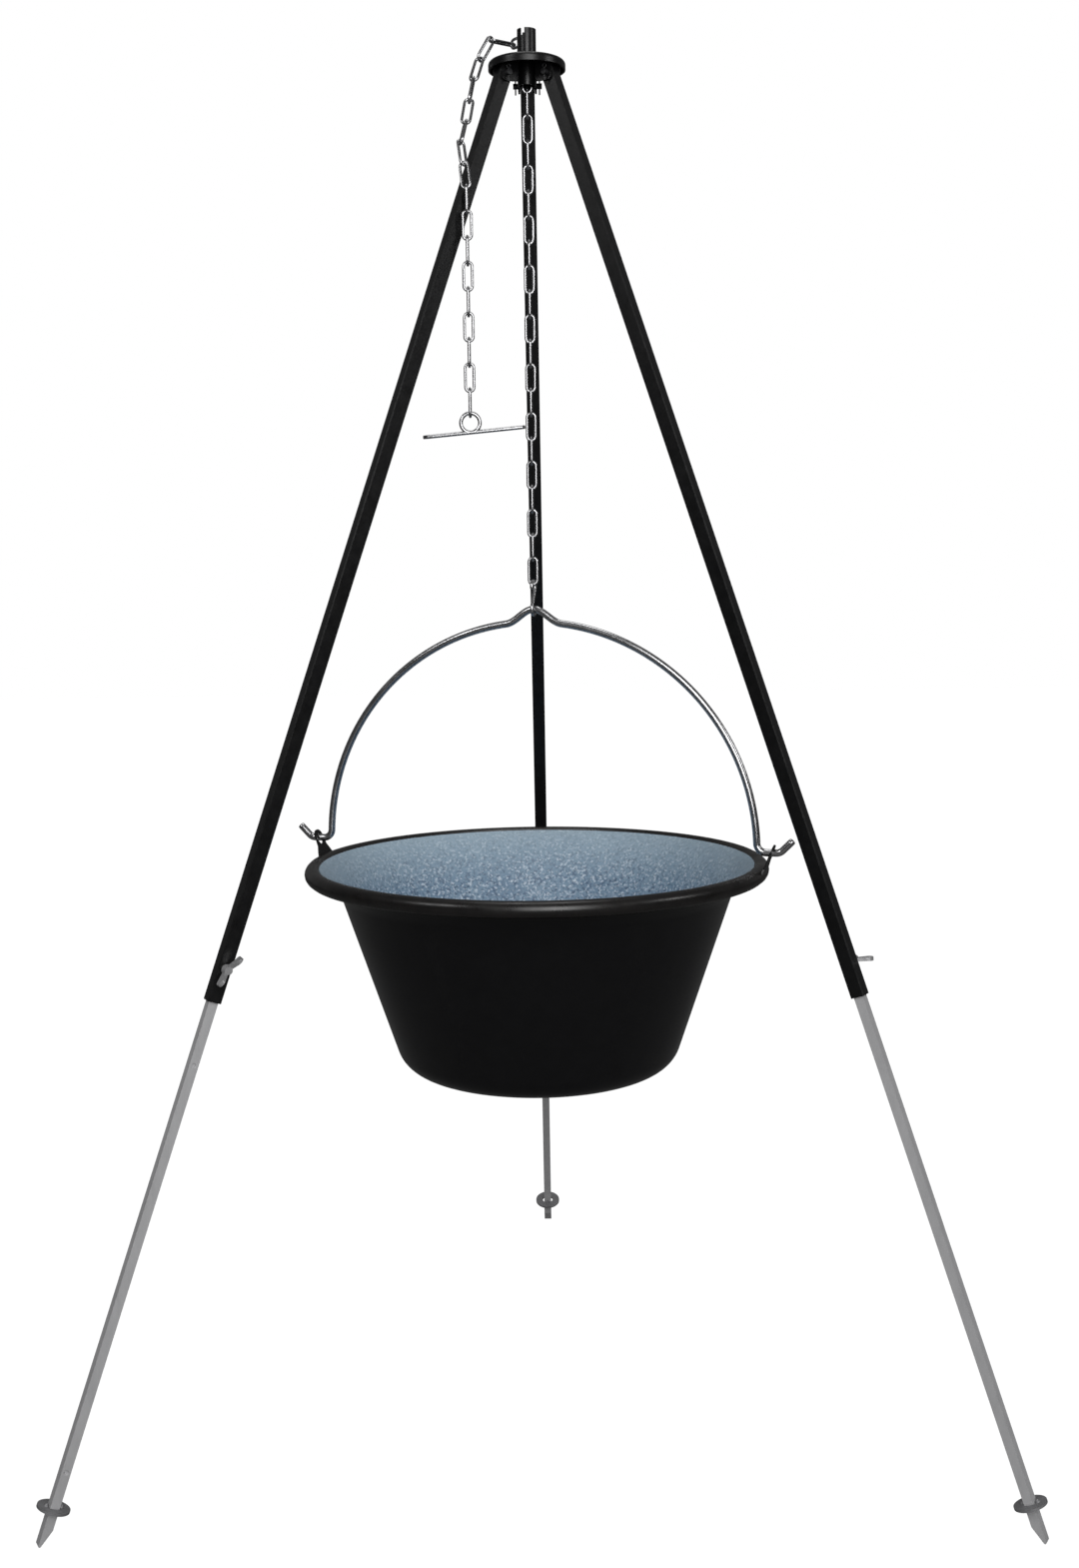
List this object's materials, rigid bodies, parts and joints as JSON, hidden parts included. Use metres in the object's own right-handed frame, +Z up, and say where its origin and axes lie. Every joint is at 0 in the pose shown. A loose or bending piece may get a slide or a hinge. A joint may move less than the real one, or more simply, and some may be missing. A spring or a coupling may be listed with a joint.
{
  "type": "campfire cooking tripod with kettle",
  "caption": "Telescopic three-legged campfire tripod with a hanging chain, toggle, S-hook and an enamelled kettle on a wire bail.",
  "frame": {"origin": "centre of the plan box, on the ground under the foot tips", "axes": "+Z up, -Y the front between the two front legs, the rear leg stands at +Y, +X to the right seen from the front"},
  "size_m": [1.012, 0.8802, 1.5302],
  "materials": {
    "black_paint": "satin black powder paint on steel tube and plate",
    "zinc_bar": "dull zinc-plated square steel bar",
    "zinc_disc": "dull zinc-plated pressed steel",
    "bright_zinc": "bright zinc-plated steel wire and casting",
    "dark_steel": "dark oiled steel pin and wire",
    "enamel": "glossy black vitreous enamel outside, speckled blue-grey inside, on sheet steel"
  },
  "bodies": {
    "head": {"head_plate": "black_paint", "chain_tube": "black_paint", "bracket_left": "black_paint", "bracket_right": "black_paint", "bracket_rear": "black_paint", "hinge_pin_left": "dark_steel", "hinge_pin_right": "dark_steel", "hinge_pin_rear": "dark_steel", "split_pins": "dark_steel", "chain_seat_link": "bright_zinc", "chain_drape": "bright_zinc"},
    "upper_left": {"upper_leg_left": "black_paint", "weld_nut_left": "black_paint"},
    "wing_left": {"wing_screw_left": "bright_zinc"},
    "lower_left": {"lower_leg_left": "zinc_bar", "foot_disc_left": "zinc_disc"},
    "upper_right": {"upper_leg_right": "black_paint", "weld_nut_right": "black_paint"},
    "wing_right": {"wing_screw_right": "bright_zinc"},
    "lower_right": {"lower_leg_right": "zinc_bar", "foot_disc_right": "zinc_disc"},
    "upper_rear": {"upper_leg_rear": "black_paint", "weld_nut_rear": "black_paint"},
    "wing_rear": {"wing_screw_rear": "bright_zinc"},
    "lower_rear": {"lower_leg_rear": "zinc_bar", "foot_disc_rear": "zinc_disc"},
    "top_link": {"chain_top_link": "bright_zinc"},
    "chain_upper": {"chain_upper": "bright_zinc"},
    "chain_lower": {"chain_lower": "bright_zinc"},
    "hook": {"s_hook": "bright_zinc"},
    "bail": {"bail": "bright_zinc"},
    "kettle": {"kettle_body": "enamel", "ear_left": "black_paint", "ear_right": "black_paint"},
    "tail_link": {"tail_top_link": "bright_zinc"},
    "tail": {"tail_chain": "bright_zinc"},
    "toggle": {"toggle": "bright_zinc"}
  },
  "joints": [
    {"name": "fold_left", "type": "hinge", "parent": "head", "child": "upper_left", "pos_m": [-0.02511, -0.15582, 1.48074], "axis": [0.5, -0.866, 0], "range_deg": [0, 3]},
    {"name": "extend_left", "type": "slide", "parent": "upper_left", "child": "lower_left", "axis": [0.3005, 0.1735, 0.9379], "range_m": [0, 0.523]},
    {"name": "clamp_left", "type": "hinge", "parent": "upper_left", "child": "wing_left", "pos_m": [-0.31366, -0.33396, 0.56443], "axis": [0.5, -0.866, 0], "range_deg": [0, 360]},
    {"name": "fold_right", "type": "hinge", "parent": "head", "child": "upper_right", "pos_m": [0.02511, -0.15582, 1.48074], "axis": [0.5, 0.866, 0], "range_deg": [0, 3]},
    {"name": "extend_right", "type": "slide", "parent": "upper_right", "child": "lower_right", "axis": [-0.3005, 0.1735, 0.9379], "range_m": [0, 0.523]},
    {"name": "clamp_right", "type": "hinge", "parent": "upper_right", "child": "wing_right", "pos_m": [0.32366, -0.31664, 0.56443], "axis": [0.5, 0.866, 0], "range_deg": [0, 360]},
    {"name": "fold_rear", "type": "hinge", "parent": "head", "child": "upper_rear", "pos_m": [0, -0.11232, 1.48074], "axis": [-1, 0, 0], "range_deg": [0, 3]},
    {"name": "extend_rear", "type": "slide", "parent": "upper_rear", "child": "lower_rear", "axis": [0, -0.3469, 0.9379], "range_m": [0, 0.523]},
    {"name": "clamp_rear", "type": "hinge", "parent": "upper_rear", "child": "wing_rear", "pos_m": [-0.01, 0.22663, 0.56443], "axis": [-1, 0, 0], "range_deg": [0, 360]},
    {"name": "chain_swing_x", "type": "hinge", "parent": "head", "child": "top_link", "pos_m": [0, -0.14132, 1.49369], "axis": [1, 0, 0], "range_deg": [-2.5, 2.5]},
    {"name": "chain_swing_y", "type": "hinge", "parent": "top_link", "child": "chain_upper", "pos_m": [0, -0.14132, 1.46779], "axis": [0, 1, 0], "range_deg": [-2.5, 2.5]},
    {"name": "chain_twist", "type": "hinge", "parent": "chain_upper", "child": "chain_lower", "pos_m": [0, -0.14132, 1.20879], "axis": [0, 0, 1], "range_deg": [-20, 20]},
    {"name": "hook_swing", "type": "hinge", "parent": "chain_lower", "child": "hook", "pos_m": [0, -0.14132, 0.95179], "axis": [-0.2756, -0.9613, 0], "range_deg": [-6, 6]},
    {"name": "bail_swing", "type": "hinge", "parent": "hook", "child": "bail", "pos_m": [0, -0.14132, 0.921], "axis": [-0.9613, 0.2756, 0], "range_deg": [-6, 6]},
    {"name": "kettle_tilt", "type": "hinge", "parent": "bail", "child": "kettle", "pos_m": [0, -0.14132, 0.659], "axis": [-0.9613, 0.2756, 0], "range_deg": [-75, 75]},
    {"name": "tail_swing_in", "type": "hinge", "parent": "head", "child": "tail_link", "pos_m": [-0.06327, -0.19509, 1.35805], "axis": [0.5, -0.866, 0], "range_deg": [-3, 3]},
    {"name": "tail_swing_side", "type": "hinge", "parent": "tail_link", "child": "tail", "pos_m": [-0.06327, -0.19509, 1.33205], "axis": [0, 1, 0], "range_deg": [-4, 4]},
    {"name": "toggle_swing", "type": "hinge", "parent": "tail", "child": "toggle", "pos_m": [-0.06327, -0.19509, 1.12485], "axis": [0, 1, 0], "range_deg": [-25, 25]}
  ]
}
